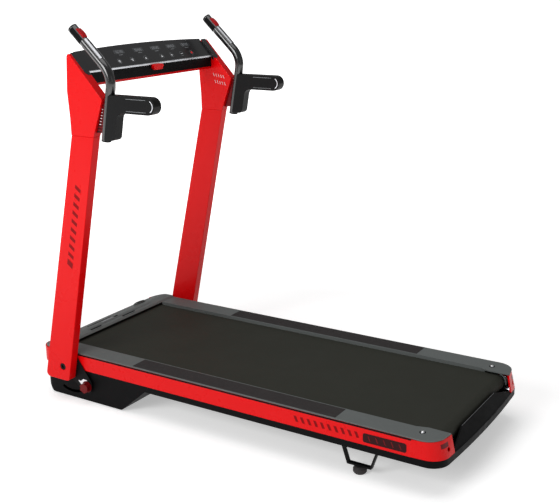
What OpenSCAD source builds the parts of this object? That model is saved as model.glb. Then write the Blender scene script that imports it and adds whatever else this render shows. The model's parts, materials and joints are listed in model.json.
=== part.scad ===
// Folding motorised treadmill. Millimetres, +Z up, +Y the way the runner faces,
// origin on the floor under the middle of the machine.

/* [Deck] */
// Width of the running belt that shows between the foot rails
belt_w = 450; // [420:5:470]
// Width of one foot rail
rail_w = 68; // [66:1:72]
// Length of the deck from the front cover to the rear bumper
deck_l = 1390; // [1380:5:1420]
// Height of the foot rails above the floor
rail_top = 160; // [160:1:165]
// Depth of the belt's surface below the foot rails
belt_drop = 10; // [9:0.5:11]
// Thickness of the running belt
belt_t = 2; // [1.6:0.1:2.2]
// Height of the red side rail
stripe_h = 49; // [46:1:50]

/* [Uprights] */
// Thickness of a post across the machine
post_t = 29; // [27:1:31]
// Gap between the deck's side and the post
post_gap = 4; // [4:0.5:6]
// Height of the joint between post and post head
break_z = 850; // [840:5:855]
// Backward lean of the post's front edge, in mm per mm
lean_front = 0.234; // [0.23:0.001:0.238]
// Backward lean of the post's rear edge, in mm per mm
lean_rear = 0.217; // [0.214:0.001:0.22]
// Wall of the post's hollow section
post_wall = 2.5; // [2:0.5:3]

/* [Handles] */
// Radius of the handle tube
tube_r = 14; // [13:0.5:14]
// Wall of the handle tube
tube_wall = 2; // [1.5:0.5:2.5]
// Radius of the handle's bend, to the tube's middle
bend_r = 70; // [60:1:75]
// Radius of the arm pad's round end
pad_r = 23.5; // [22:0.5:24]

/* [Drive] */
// Radius of both rollers
roller_r = 22; // [21:0.5:22]
// Radius of the pulley on the front roller
big_pulley_r = 26; // [24:0.5:26]
// Radius of the pulley on the motor
small_pulley_r = 11; // [10:0.5:12]
// Radius of the motor's body
motor_r = 38; // [34:1:38]
// Radius of a transport wheel
wheel_r = 20; // [18:0.5:20]

/* [Hidden] */

// Running clearance of a shaft in its hole, on the radius
fit = 0.05;
// Slack between plain pieces that don't touch
slack = 0.3;
round_fn = 64;

half = belt_w / 2 + rail_w;
front = deck_l / 2;
rear = -front;
inner = belt_w / 2;
belt_top = rail_top - belt_drop;
roller_z = belt_top - belt_t - roller_r;
front_roller_y = front - 55;
rear_roller_y = rear + 59;

// Main rail tube: a box section under each foot rail
tube_in = inner + 21;
tube_out = half - 7;
tube_low = rail_top - 61;
member_h = 13;
rail_front = front - 46;
rail_rear = rear + 74;
tube_high = rail_top - 12;
tube_skin = 2.5;

// Heights of the red stripe and of the black strip below it
stripe_top = rail_top - 5;
stripe_low = stripe_top - stripe_h;
strip_low = stripe_low - 20;
pan_low = 4;
skin = 3;
rear_bow = 12;
cap_start = rear + 95;

// Pivot of the uprights, and the clamp knob behind it
pivot_y = front - 131;
pivot_z = rail_top - 41;
bolt_r = 8;
bush_r = 11;
knob_y = pivot_y - 70;
knob_z = pivot_z - 63;
knob_r = 18;
stem_r = 4;
slot_r = 4.6;
fold_max = 70;

post_in = half + post_gap;
post_out = post_in + post_t;
post_mid = (post_in + post_out) / 2;
post_low = rail_top - 86;
function post_front(z) = front - 76 - lean_front * (z - rail_top);
function post_rear(z) = front - 171.5 - lean_rear * (z - rail_top);

// The head's slanted top edge carries the console between the two heads
head_top = [front - 245, 1081];
head_tip = [front - 361, 957];
function head_rear(z) =
  head_tip[0] + (post_rear(break_z) - head_tip[0]) * (head_tip[1] - z) / (head_tip[1] - break_z);
console_in = half + post_gap - 0.5;
panel_front = [front - 241, 1077];
panel_rear = [front - 286, 1028];
panel_bow = 6;
panel_t = 3;
panel_dir = unit(panel_rear - panel_front);
panel_out = [panel_dir[1], -panel_dir[0]];
key_x = 8;

// Centre line of a handle: foot, corner of the bend, tip
handle_x = post_mid + 1;
handle_foot = [front - 357, 844];
handle_corner = [front - 390, 1024];
handle_tip = [front - 260, 1146];
low_dir = unit(handle_corner - handle_foot);
high_dir = unit(handle_tip - handle_corner);
low_angle = atan2(low_dir[1], low_dir[0]);
high_angle = atan2(high_dir[1], high_dir[0]);
bend_turn = low_angle - high_angle;
bend_reach = bend_r * tan(bend_turn / 2);
bend_start = handle_corner - low_dir * bend_reach;
bend_end = handle_corner + high_dir * bend_reach;
spigot_l = 2;
spigot_step = 0.1;
bend_centre = bend_start + bend_r * [cos(low_angle - 90), sin(low_angle - 90)];
quick_key_at = 30;
quick_key_l = 34;
quick_key_w = 16;

motor_y = front - 150;
motor_z = 53;
pulley_x = inner + 2;
pulley_w = 16;
drive_w = 13;
mains_x = -180;
mains_w = 66;
mains_z = 56;
mains_h = 26;
rocker_x = mains_x + 45;
rocker_w = 14;
rocker_y = front - 15;
rocker_z = mains_z + mains_h / 2;
rocker_tilt = 8;
wheel_y = front - 45;
wheel_z = 26;
wheel_x = 200;
wheel_w = 22;
leg_x = half - 39;
leg_w = 14;
leg_y = rear + 258;

function unit(v) = v / norm(v);

// Points of an arc about c from angle a0 to a1
function arc(c, r, a0, a1, n = 8) =
  [for (i = [0:n]) let (a = a0 + (a1 - a0) * i / n) c + r * [cos(a), sin(a)]];

// One rounded corner at b between the edges to a and to c
function corner(a, b, c, r, n) =
  r == 0 ? [b] :
  let (u = unit(a - b), v = unit(c - b), half_a = acos(u * v) / 2, mid = unit(u + v))
  let (o = b + mid * (r / sin(half_a)), s = b + u * (r / tan(half_a)) - o, e = b + v * (r / tan(half_a)) - o)
  let (a0 = atan2(s[1], s[0]), turn = atan2(e[1], e[0]) - a0)
  let (short = turn > 180 ? turn - 360 : turn < -180 ? turn + 360 : turn)
  arc(o, r, a0, a0 + short, n);

// Outline p with a radius at each corner
function rounded(p, r, n = 5) = [
  for (i = [0:len(p) - 1])
    each corner(p[(i + len(p) - 1) % len(p)], p[i], p[(i + 1) % len(p)], r[i], n)
];

// Outline of a belt round two pulleys of radii ra and rb
function belt_loop(a, ra, b, rb, n = 24) =
  let (d = b - a, phi = atan2(d[1], d[0]), beta = acos((ra - rb) / norm(d)))
  concat(arc(a, ra, phi + beta, phi + 360 - beta, n), arc(b, rb, phi - beta, phi + beta, n));

// Rear edge of the deck in plan, and its rounded corner, at a draw-in from the outermost line
function rear_line(x, inset) = rear + inset + rear_bow * pow(x / half, 2);
function rear_plan(inset, x_end) = concat(
  arc([half - 52, rear + 60.2], 50 - inset, 0, -88, 10),
  [for (i = [0:4]) let (x = (half - 52) - (half - 52 - x_end) * i / 4) [x, rear_line(x, inset + 2)]]
);

// The same edge over the whole width, closed off at y_end
function rear_outline(inset, y_end) =
  let (right = rear_plan(inset, 0))
  let (left = [for (i = [len(right) - 1:-1:0]) [-right[i][0], right[i][1]]])
  concat([[half - 2 - inset, y_end]], right, left, [[2 + inset - half, y_end]]);

// Extrudes a (y, z) outline along x
module along_x(x0, x1) {
  translate([x0, 0, 0])
    rotate([90, 0, 90])
      linear_extrude(x1 - x0)
        children();
}

// A round bar along x
module rod(x0, x1, y, z, r) {
  translate([x0, y, z])
    rotate([0, 90, 0])
      cylinder(h = x1 - x0, r = r, $fn = round_fn);
}

// Children on the right side, or mirrored to the left
module on_side(right) {
  if (right) {
    children();
  } else {
    mirror([1, 0, 0])
      children();
  }
}

module both_sides() {
  for (right = [false, true])
    on_side(right)
      children();
}

// ---- Deck frame ----

module main_rails() {
  color("#202022")
    both_sides()
      difference() {
        translate([tube_in, rail_rear, tube_low])
          cube([tube_out - tube_in, rail_front - rail_rear, tube_high - tube_low]);
        translate([tube_in + tube_skin, rail_rear - 1, tube_low + tube_skin])
          cube([
            tube_out - tube_in - 2 * tube_skin, rail_front - rail_rear + 2,
            tube_high - tube_low - 2 * tube_skin
          ]);
        rod(tube_in - 1, tube_out + 1, pivot_y, pivot_z, bolt_r);
        for (y = screw_stations)
          translate([screw_x, y, tube_high - 5])
            cylinder(h = 10, r = screw_r, $fn = round_fn);
      }
}

module cross_members() {
  color("#202022") {
    for (y = [front - 240, 60, -270, rear + 130])
      translate([-tube_out, y - 15, tube_low - member_h])
        difference() {
          cube([2 * tube_out, 30, member_h]);
          translate([-1, 2, 2])
            cube([2 * tube_out + 2, 26, member_h - 4]);
        }
    translate([-tube_in, front - 25, tube_low - 15])
      cube([2 * tube_in, 5, 35]);
  }
}

module running_board() {
  color("#3a2a1c")
    translate([-inner - 17, rear + 100, belt_top - belt_t - 16])
      cube([2 * inner + 34, deck_l - 210, 15.5]);
}

screw_x = inner + 25;
screw_r = 2.5;
screw_stations = [rear + 83];
board_stations = [rear + 180, rear + 480, 40, 340, front - 170];

module board_brackets() {
  shelf_low = belt_top - belt_t - 26;
  color("#8a8c90")
    both_sides()
      for (y = board_stations)
        translate([inner + 2, y - 20, shelf_low]) {
          cube([tube_in - inner - 2, 40, 3]);
          translate([tube_in - inner - 5, 0, 0])
            cube([3, 40, 9]);
        }
}

module board_cushions() {
  color("#151515")
    both_sides()
      for (y = board_stations)
        translate([inner + 9.5, y, belt_top - belt_t - 23])
          cylinder(h = 7, r = 7, $fn = round_fn);
}

module running_belt() {
  mouth = 0.4;
  a = [front_roller_y, roller_z];
  b = [rear_roller_y, roller_z];
  color("#2c2b28")
    along_x(-inner + 2, inner - 2)
      difference() {
        polygon(belt_loop(a, roller_r + belt_t, b, roller_r + belt_t));
        polygon(belt_loop(a, roller_r + mouth, b, roller_r + mouth));
      }
}

// ---- Rollers and drive ----

shaft_r = 5;
bearing_r = 13;
bearing_w = 9;

module roller(y) {
  difference() {
    rod(-inner + 1, inner - 1, y, roller_z, roller_r);
    rod(-inner, inner, y, roller_z, bearing_r + fit);
  }
}

module front_roller() {
  color("silver")
    roller(front_roller_y);
}

module rear_roller() {
  color("silver")
    roller(rear_roller_y);
}

module roller_pulley() {
  color("#303236")
    difference() {
      union() {
        rod(inner - 1, pulley_x, front_roller_y, roller_z, 18);
        rod(pulley_x, pulley_x + pulley_w, front_roller_y, roller_z, big_pulley_r);
      }
      rod(inner - 2, pulley_x + pulley_w + 1, front_roller_y, roller_z, shaft_r + 1);
    }
}

module roller_shafts() {
  color("silver") {
    rod(-tube_in, tube_in, front_roller_y, roller_z, shaft_r);
    difference() {
      rod(-inner - 20, inner + 20, rear_roller_y, roller_z, shaft_r);
      both_sides()
        translate([inner + 15, rear_roller_y, roller_z])
          rotate([90, 0, 0])
            cylinder(h = 20, r = 2.5, center = true, $fn = round_fn);
    }
  }
}

module roller_bearings() {
  color("#b8bcc2")
    both_sides()
      for (y = [front_roller_y, rear_roller_y])
        difference() {
          rod(inner - 14, inner - 14 + bearing_w, y, roller_z, bearing_r);
          rod(inner - 15, inner - 4, y, roller_z, shaft_r);
        }
}

module roller_brackets() {
  color("#c9ccd0")
    both_sides()
      difference() {
        along_x(inner + 2, inner + 5)
          polygon(rounded(
            [[rear + 98, 104], [rear + 24, 104], [rear + 30, 148], [rear + 98, 148]],
            [0, 4, 8, 0]
          ));
        rod(inner, inner + 7, rear_roller_y, roller_z, shaft_r);
      }
}

module tension_screws() {
  color("#9a9da2")
    both_sides()
      translate([inner + 15, rear_roller_y + 14, roller_z])
        rotate([90, 0, 0]) {
          cylinder(h = 32, r = 2.5, $fn = round_fn);
          translate([0, 0, 32])
            cylinder(h = 5, r = 4.5, $fn = round_fn);
        }
}

module motor_body() {
  color("#2a2c30")
    difference() {
      union() {
        rod(-60, 180, motor_y, motor_z, motor_r);
        rod(180, 196, motor_y, motor_z, 16);
      }
      rod(-61, 197, motor_y, motor_z, 6 + fit);
      for (turn = [0:45:315])
        translate([-61, motor_y, motor_z])
          rotate([turn, 0, 0])
            translate([0, 24, 0])
              rotate([0, 90, 0])
                cylinder(h = 9, r = 5, $fn = 24);
    }
}

module motor_rotor() {
  color("#888b90") {
    rod(-98, pulley_x + pulley_w + 1, motor_y, motor_z, 6);
    difference() {
      rod(-94, -66, motor_y, motor_z, motor_r - 3);
      rod(-95, -65, motor_y, motor_z, 6);
    }
    difference() {
      rod(pulley_x, pulley_x + pulley_w, motor_y, motor_z, small_pulley_r);
      rod(pulley_x - 1, pulley_x + pulley_w + 1, motor_y, motor_z, 6);
    }
  }
}

module motor_bracket() {
  cross_y = front - 240;
  color("#45484c")
    difference() {
      union() {
        translate([-30, cross_y - 15, 9])
          cube([180, motor_y - cross_y + 45, 4]);
        translate([-30, cross_y - 15, 13])
          cube([180, 5, tube_low - member_h - 13]);
        for (x = [-25, 120])
          translate([x, motor_y - 25, 13])
            cube([20, 50, 16]);
      }
      rod(-31, 151, motor_y, motor_z, motor_r);
    }
}

module drive_belt() {
  a = [front_roller_y, roller_z];
  b = [motor_y, motor_z];
  color("#111111")
    along_x(pulley_x + 1.5, pulley_x + 1.5 + drive_w)
      difference() {
        polygon(belt_loop(a, big_pulley_r + 2.6, b, small_pulley_r + 2.6));
        polygon(belt_loop(a, big_pulley_r + 0.4, b, small_pulley_r + 0.4));
      }
}

module controller() {
  color("#5c6066") {
    translate([-228, front - 260, pan_low + skin])
      cube([125, 150, 3]);
    translate([-224, front - 256, pan_low + skin + 3])
      cube([70, 142, 14]);
    for (i = [0:7])
      translate([-148 + i * 5.5, front - 256, pan_low + skin + 3])
        cube([2, 142, 34]);
  }
}

// ---- Deck covers ----

module foot_rail(right) {
  lip = rail_top - 3.5;
  color("#6b6c6c")
    on_side(right) {
      difference() {
        union() {
          translate([inner, rear + 95, tube_high])
            cube([tube_out - 0.5 - inner, deck_l - 182, rail_top - tube_high]);
          translate([inner, rear + 95, lip])
            cube([half - 1.5 - inner, deck_l - 182, rail_top - lip]);
          translate([0, 0, lip])
            linear_extrude(rail_top - lip)
              polygon(concat(
                [[inner - 9, rear + 80], [inner, rear + 112], [half - 1.5, rear + 112]],
                arc([half - 52, rear + 73], 50.5, 0, -82, 10),
                [[inner - 7, rear + 19]]
              ));
        }
        translate([inner + 4, -379, rail_top - 1.5])
          cube([half - inner - 9, 692, 2]);
        for (y = screw_stations)
          translate([screw_x, y, tube_high - 1])
            cylinder(h = 20, r = screw_r, $fn = round_fn);
      }
    }
}

module foot_rail_left() { foot_rail(false); }
module foot_rail_right() { foot_rail(true); }

module grip_pads() {
  color("#3c3d3f")
    both_sides()
      translate([inner + 4.2, -378.8, rail_top - 1.5])
        cube([half - inner - 9.4, 691.6, 2.3]);
}

module side_rail(right) {
  color("#d8161c")
    on_side(right)
      difference() {
        along_x(tube_out, half)
          polygon([
            [cap_start, stripe_low], [front - 46, stripe_low],
            [front - 46, stripe_top], [cap_start, stripe_top]
          ]);
        rod(tube_out - 1, half + 1, pivot_y, pivot_z, bolt_r + 1);
      }
}

module side_rail_left() { side_rail(false); }
module side_rail_right() { side_rail(true); }

// Quarter-round corner covers at the front
module front_caps() {
  color("#d8161c")
    both_sides()
      translate([0, 0, stripe_low])
        linear_extrude(stripe_h)
          polygon(concat(
            arc([half - 43, front - 46], 43, 0, 88, 10),
            arc([half - 43, front - 46], 36, 88, 0, 10)
          ));
}

// Corner covers at the rear, drawn in towards the top
module rear_cap_solid(inset) {
  hull() {
    translate([0, 0, stripe_low + slack])
      linear_extrude(1)
        polygon(concat([[inner - 12, cap_start], [half - inset, cap_start]], rear_plan(inset, inner - 12)));
    translate([0, 0, stripe_top - 1])
      linear_extrude(1)
        polygon(concat(
          [[inner - 10, cap_start], [half - inset, cap_start]],
          arc([half - 52, rear + 73], 50 - inset, 0, -80, 8),
          [[inner - 10, rear + 18 + inset]]
        ));
  }
}

module rear_caps() {
  wall = 5;
  color("#d8161c")
    both_sides()
      difference() {
        rear_cap_solid(0);
        rear_cap_solid(wall);
        translate([inner - 20, cap_start - 1, stripe_low - 5])
          cube([half - inner + 13, 5, stripe_h + 10]);
        translate([inner - 13, cap_start - 60, stripe_low - 5])
          cube([14, 70, stripe_h + 10]);
        translate([inner + 15, rear + 40, roller_z])
          rotate([90, 0, 0])
            cylinder(h = 60, r = 6, $fn = round_fn);
      }
}

module skirts() {
  color("#18191b")
    both_sides()
      translate([tube_out, cap_start, strip_low])
        cube([half - tube_out - 1, front - 427 - cap_start - slack, stripe_low - strip_low - slack]);
}

module rear_bumper() {
  wall = 4.5;
  color("#18191b") {
    difference() {
      translate([0, 0, strip_low])
        linear_extrude(stripe_low - strip_low - slack)
          polygon(rear_outline(0, cap_start));
      translate([0, 0, strip_low + 3])
        linear_extrude(40)
          polygon(rear_outline(wall, cap_start + 1));
    }
    rear_panel();
  }
}

// Leaning panel behind the rear roller, tallest in the middle and low beside the two corner covers
module rear_panel() {
  x_end = inner - 13;
  stations = [-x_end, -172, -120, -60, 60, 120, 172, x_end];
  rises = [0.12, 0.5, 1, 1, 1, 1, 0.5, 0.12];
  lean = 22;
  low = stripe_low - slack;
  height = rail_top - 22 - low;
  for (i = [0:len(stations) - 2]) {
    hull()
      for (k = [i, i + 1]) {
        x = stations[k] - 0.01 * (k - i);
        y = rear_line(x, 3);
        translate([x, y, low])
          cube([0.01, 4, 0.01]);
        translate([x, y + lean * rises[k], low + height * rises[k]])
          cube([0.01, 4, 0.01]);
      }
  }
}

// Plan of the front end with its rounded corners
function front_plan(inset) = rounded(
  [
    [-half + inset, front - 460 + inset], [half - inset, front - 460 + inset],
    [half - inset, front - 8 - inset],
    [110, front - inset], [-110, front - inset], [-half + inset, front - 8 - inset]
  ],
  [0, 0, 42, 0, 0, 42]
);

module front_cover_solid(inset, drop) {
  intersection() {
    translate([0, 0, stripe_low])
      linear_extrude(80)
        polygon(front_plan(inset + 1.5));
    along_x(-half, half)
      polygon(rounded(
        [
          [front - 87 - drop, stripe_low - drop], [front - 87 - drop, rail_top - drop],
          [front - 80 - drop, rail_top + 5 - drop], [front - 50, rail_top + 5 - drop],
          [front - 2 - inset, rail_top - 5 - drop], [front + 1 - inset, stripe_low - drop]
        ],
        [0, 2, 3, 60, 14, 0]
      ));
  }
}

module front_cover() {
  color("#6b6c6c")
    difference() {
      front_cover_solid(0, 0);
      front_cover_solid(skin, skin);
      both_sides()
        translate([inner + 23, front - 100, stripe_low - 1])
          cube([50, 110, stripe_h + 2]);
    }
}

module pan_solid(inset) {
  intersection() {
    along_x(-half + 4 + inset, half - 4 - inset)
      polygon(rounded(
        [
          [front - 427 + inset * 1.6, stripe_low + inset * 4], [front - 427 + inset * 1.6, strip_low],
          [front - 330 + inset * 0.4, pan_low + inset], [front - 46, pan_low + inset],
          [front - 22 - inset, 30], [front - 6 - inset, stripe_low + inset * 4]
        ],
        [0, 0, 14, 20, 24, 0]
      ));
    translate([0, 0, -10])
      linear_extrude(200)
        polygon(front_plan(inset + 3));
  }
}

// Positions of the curved slot that the clamp stem runs along
stem_radius = norm([knob_y - pivot_y, knob_z - pivot_z]);
stem_rest = atan2(knob_z - pivot_z, knob_y - pivot_y);
function slot_plan(extra) = concat(
  arc([pivot_y, pivot_z], stem_radius + slot_r, stem_rest - extra, stem_rest + fold_max + extra, 20),
  arc([pivot_y, pivot_z], stem_radius - slot_r, stem_rest + fold_max + extra, stem_rest - extra, 20)
);

module belly_pan() {
  color("#141517")
    difference() {
      pan_solid(0);
      pan_solid(skin);
      both_sides() {
        along_x(half - 10, half)
          polygon(slot_plan(4));
        translate([wheel_x - 3, wheel_y - wheel_r - 4, -1])
          cube([wheel_w + 6, 80, wheel_z + 22]);
        translate([240, front - 100, -1])
          cylinder(h = 20, r = 5, $fn = round_fn);
      }
      translate([mains_x, front - 40, mains_z])
        cube([mains_w, 60, mains_h]);
      translate([-half + 7, front - 440, tube_low - 2])
        cube([2 * half - 14, 30, 40]);
    }
}

// Mains module in the pan's front wall: a socket beside a window for its rocker
module mains_inlet() {
  color("#0e0e10")
    difference() {
      union() {
        translate([mains_x + slack, front - 42, mains_z + slack])
          cube([mains_w - 2 * slack, 33, mains_h - 2 * slack]);
        translate([mains_x - 4, front - 9.5, mains_z - 4])
          cube([mains_w + 8, 3.5, mains_h + 8]);
      }
      translate([mains_x + 5, front - 32, mains_z + 5])
        cube([24, 40, 16]);
      translate([rocker_x - 2, front - 36, mains_z + 2.5])
        cube([rocker_w + 4, 40, mains_h - 5]);
      rod(rocker_x - 3, rocker_x + rocker_w + 3, rocker_y, rocker_z, 1.5 + fit);
    }
}

// The rocker rests tilted to its off side
module mains_switch() {
  color("#b01218")
    translate([0, rocker_y, rocker_z])
      rotate([-rocker_tilt, 0, 0]) {
        intersection() {
          rod(rocker_x, rocker_x + rocker_w, 0, 0, 11);
          translate([rocker_x, -8, -8])
            cube([rocker_w, 30, 16]);
        }
        rod(rocker_x - 2.8, rocker_x + rocker_w + 2.8, 0, 0, 1.5);
      }
}

// ---- Wheels, feet and legs ----

module transport_wheel(right) {
  color("#1b1c1e")
    on_side(right)
      difference() {
        rod(wheel_x, wheel_x + wheel_w, wheel_y, wheel_z, wheel_r);
        rod(wheel_x - 1, wheel_x + wheel_w + 1, wheel_y, wheel_z, stem_r + fit);
      }
}

module transport_wheel_left() { transport_wheel(false); }
module transport_wheel_right() { transport_wheel(true); }

module wheel_axles() {
  color("#9a9da2")
    both_sides() {
      rod(wheel_x - 6, wheel_x + wheel_w + 6, wheel_y, wheel_z, stem_r);
      for (x = [wheel_x - 6, wheel_x + wheel_w + 3])
        along_x(x, x + 3)
          polygon([
            [wheel_y - 10, 17], [wheel_y + 3, 17], [wheel_y + 18, 60], [front - 25, 84],
            [front - 25, 96], [wheel_y + 5, 96], [wheel_y - 9, 60]
          ]);
    }
}

module front_feet() {
  color("#121212")
    both_sides()
      translate([240, front - 100, 0]) {
        cylinder(h = pan_low, r = 18, $fn = round_fn);
        translate([0, 0, pan_low])
          cylinder(h = 12, r = 4.9, $fn = round_fn);
      }
}

module rear_legs() {
  top = tube_low;
  low = 20;
  strap = 5;
  color("#151618")
    both_sides()
      difference() {
        along_x(leg_x - leg_w / 2, leg_x + leg_w / 2)
          polygon([
            [leg_y + 90, top], [leg_y + 90, top - strap], [leg_y + 61, top - strap], [leg_y + 36, low],
            [leg_y - 36, low], [leg_y - 61, top - strap], [leg_y - 90, top - strap], [leg_y - 90, top],
            [leg_y - 57.6, top], [leg_y - 32.5, low + strap], [leg_y + 32.5, low + strap], [leg_y + 57.6, top]
          ]);
        for (y = [leg_y - 76, leg_y + 76])
          translate([leg_x, y, top - 10])
            cylinder(h = 20, r = 3, $fn = round_fn);
      }
}

module rear_feet() {
  color("#101010")
    both_sides()
      translate([leg_x, leg_y, 0])
        rotate_extrude($fn = round_fn)
          polygon([[0, 0], [15, 0], [19, 5], [19, 14], [14, 20], [0, 20]]);
}

// ---- Fasteners of the base ----

module pivot_bolts() {
  color("#1c1d20")
    both_sides()
      difference() {
        union() {
          rod(tube_in - 8, post_out - 6, pivot_y, pivot_z, bolt_r);
          rod(tube_in - 8, tube_in, pivot_y, pivot_z, bolt_r + 4);
          rod(post_out - 6, post_out - 1, pivot_y, pivot_z, bush_r - 0.6);
        }
        translate([post_out - 4, pivot_y, pivot_z])
          rotate([0, 90, 0])
            cylinder(h = 10, r = 5, $fn = 6);
      }
}

module deck_screws() {
  color("#c4c7cb")
    both_sides()
      for (y = screw_stations) {
        translate([screw_x, y, tube_high - 4])
          cylinder(h = rail_top - tube_high + 5, r = screw_r, $fn = round_fn);
        translate([screw_x, y, rail_top])
          cylinder(h = 2.4, r1 = 5.5, r2 = 4, $fn = round_fn);
      }
}

// ---- Uprights ----

module post(right) {
  top = break_z;
  plug = rail_top + 20;
  color("#e0191f")
    on_side(right)
      difference() {
        along_x(post_in, post_out)
          polygon(rounded(
            [
              [post_front(post_low), post_low], [post_front(top), top],
              [post_rear(top), top], [post_rear(post_low), post_low]
            ],
            [14, 0, 0, 12]
          ));
        along_x(post_in + post_wall, post_out - post_wall)
          polygon([
            [post_front(plug) - post_wall, plug], [post_front(top + 5) - post_wall, top + 5],
            [post_rear(top + 5) + post_wall, top + 5], [post_rear(plug) + post_wall, plug]
          ]);
        rod(post_in - 1, post_out + 1, pivot_y, pivot_z, bush_r);
      }
}

module post_left() { post(false); }
module post_right() { post(true); }

// Outline of the head, drawn in by an inset
function head_outline(inset) = [
  [post_front(break_z) - inset, break_z + inset], [front - 237 - inset, 900], [front - 232 - inset, 975],
  [front - 239 - inset, 1070 - inset], head_top + [-0.4, -1.4] * inset, head_tip + [1.6, 0] * inset,
  [post_rear(break_z) + inset, break_z + inset]
];

module post_head(right) {
  wall = 4;
  spigot = 30;
  color("#e0191f")
    on_side(right) {
      difference() {
        along_x(post_in, post_out)
          polygon(rounded(head_outline(0), [0, 20, 20, 14, 5, 8, 0]));
        along_x(post_in + wall, post_out - wall)
          polygon(head_outline(wall));
        along_x(post_in - 1, post_in + wall + 1)
          translate([front - 266, 990])
            square([22, 14]);
      }
      difference() {
        along_x(post_in + post_wall + 0.5, post_out - post_wall - 0.5)
          polygon([
            [post_front(break_z) - 4, break_z], [post_rear(break_z) + 4, break_z],
            [post_rear(break_z - spigot) + 4, break_z - spigot],
            [post_front(break_z - spigot) - 4, break_z - spigot]
          ]);
        along_x(post_in + 6, post_out - 6)
          polygon([
            [post_front(break_z) - 8, break_z - 4], [post_rear(break_z) + 8, break_z - 4],
            [post_rear(break_z - spigot) + 8, break_z - spigot - 1],
            [post_front(break_z - spigot) - 8, break_z - spigot - 1]
          ]);
      }
    }
}

module post_head_left() { post_head(false); }
module post_head_right() { post_head(true); }

module pivot_bushes() {
  color("#b08d45")
    both_sides()
      difference() {
        rod(post_in - 1.5, post_out - 6.5, pivot_y, pivot_z, bush_r);
        rod(post_in - 2, post_out, pivot_y, pivot_z, bolt_r + fit);
      }
}

// Plate behind each post's foot that carries the clamp knob
module lock_plates() {
  plate_in = post_in - 2.4;
  plate_out = plate_in + 2.4;
  color("#17181a")
    both_sides() {
      difference() {
        along_x(plate_in, plate_out)
          polygon(rounded(
            [
              [pivot_y - 34, pivot_z + 28], [knob_y - 20, knob_z + 14], [knob_y - 16, knob_z - 20],
              [knob_y + 12, knob_z - 20], [pivot_y + 28, pivot_z - 22], [pivot_y + 24, pivot_z + 28]
            ],
            [6, 14, 10, 10, 14, 10]
          ));
        rod(plate_in - 1, plate_out + 1, pivot_y, pivot_z, bush_r + 0.1);
        rod(plate_in - 1, plate_out + 1, knob_y, knob_z, stem_r + fit);
      }
    }
}

module lock_knob(right) {
  lobes = 6;
  flange = post_in + slack;
  color("#cf151b")
    on_side(right)
      difference() {
        union() {
          rod(half - 12, flange, knob_y, knob_z, stem_r);
          rod(half - 12, half - 7 - slack, knob_y, knob_z, stem_r + 5);
          rod(flange, flange + 3, knob_y, knob_z, knob_r);
          rod(flange + 3, flange + 17, knob_y, knob_z, knob_r - 2);
        }
        for (i = [0:lobes - 1])
          translate([0, knob_y, knob_z])
            rotate([i * 360 / lobes, 0, 0])
              rod(flange + 3, flange + 18, knob_r + 1, 0, 5.5);
      }
}

module lock_knob_left() { lock_knob(false); }
module lock_knob_right() { lock_knob(true); }

beam_low = 986;
beam_rear = front - 281;
beam_front = front - 236;

module crossbeam() {
  color("#e0191f")
    difference() {
      translate([-post_in, beam_rear, beam_low])
        cube([2 * post_in, beam_front - beam_rear, 24]);
      translate([-post_in - 1, beam_rear + 2.5, beam_low + 2.5])
        cube([2 * post_in + 2, beam_front - beam_rear - 5, 19]);
    }
}

// Plan of the console with its bowed front edge
function console_plan(inset) = concat(
  [[console_in, beam_rear - 5 + inset]],
  [for (i = [0:12])
    let (x = console_in * (1 - i / 6))
    [x, panel_front[0] + 4 - inset + panel_bow * (1 - pow(x / console_in, 2))]],
  [[-console_in, beam_rear - 5 + inset]]
);

module console_housing() {
  low = beam_low + 7;
  wall = 3;
  top_front = panel_front - panel_dir * 16;
  color("#17181a")
    difference() {
      intersection() {
        along_x(-console_in, console_in)
          polygon([
            [panel_rear[0] + 3, low], panel_rear - panel_out * panel_t - [0, 1],
            top_front - panel_out * panel_t,
            [panel_front[0] + 12, low]
          ]);
        translate([0, 0, 900])
          linear_extrude(300)
            polygon(console_plan(0));
      }
      intersection() {
        along_x(-console_in + wall, console_in - wall)
          polygon([
            [panel_rear[0] + 3 + wall, low - 1], panel_rear + [wall, 10], top_front + [0, 10],
            [panel_front[0] + 12, low - 1]
          ]);
        translate([0, 0, 900])
          linear_extrude(300)
            polygon(console_plan(wall));
      }
      along_x(-console_in - 1, console_in + 1)
        translate([beam_rear - 0.5, beam_low - 1])
          square([beam_front - beam_rear + 1, 25.6]);
      translate([key_x - 22, panel_rear[0] - 4, panel_rear[1] - 18])
        cube([44, 14, 13]);
    }
}

// Slanted touch panel, in the plane through its front and rear edges
module console_panel() {
  color("#0c0d0f")
    intersection() {
      along_x(-console_in, console_in)
        polygon([
          panel_rear, panel_front - panel_dir * 16, panel_front - panel_dir * 16 - panel_out * panel_t,
          panel_rear - panel_out * panel_t
        ]);
      translate([0, 0, 900])
        linear_extrude(300)
          polygon(console_plan(0));
    }
}

module console_trim() {
  color("#c9ccd0")
    along_x(-console_in + 2, console_in - 2)
      polygon([
        panel_rear + [-1.6, 0.4], panel_rear + panel_out * 0.8 - panel_dir * 1.4,
        panel_rear + [0, 0], panel_rear - panel_out * panel_t + [0, -1.0], panel_rear + [-1.6, -4]
      ]);
}

module safety_key() {
  y_face = panel_rear[0] - 2;
  z_mid = panel_rear[1] - 11.5;
  color("#d8161c") {
    translate([key_x, y_face, z_mid])
      rotate([90, 0, 0])
        linear_extrude(8)
          polygon(rounded(
            [[-25, 4], [-18, -8.5], [18, -8.5], [25, 4], [18, 8.5], [-18, 8.5]],
            [3, 3, 3, 3, 3, 3]
          ));
    translate([key_x - 17, y_face, z_mid - 4])
      cube([34, 10, 9]);
  }
}

// ---- Handles ----

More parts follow.
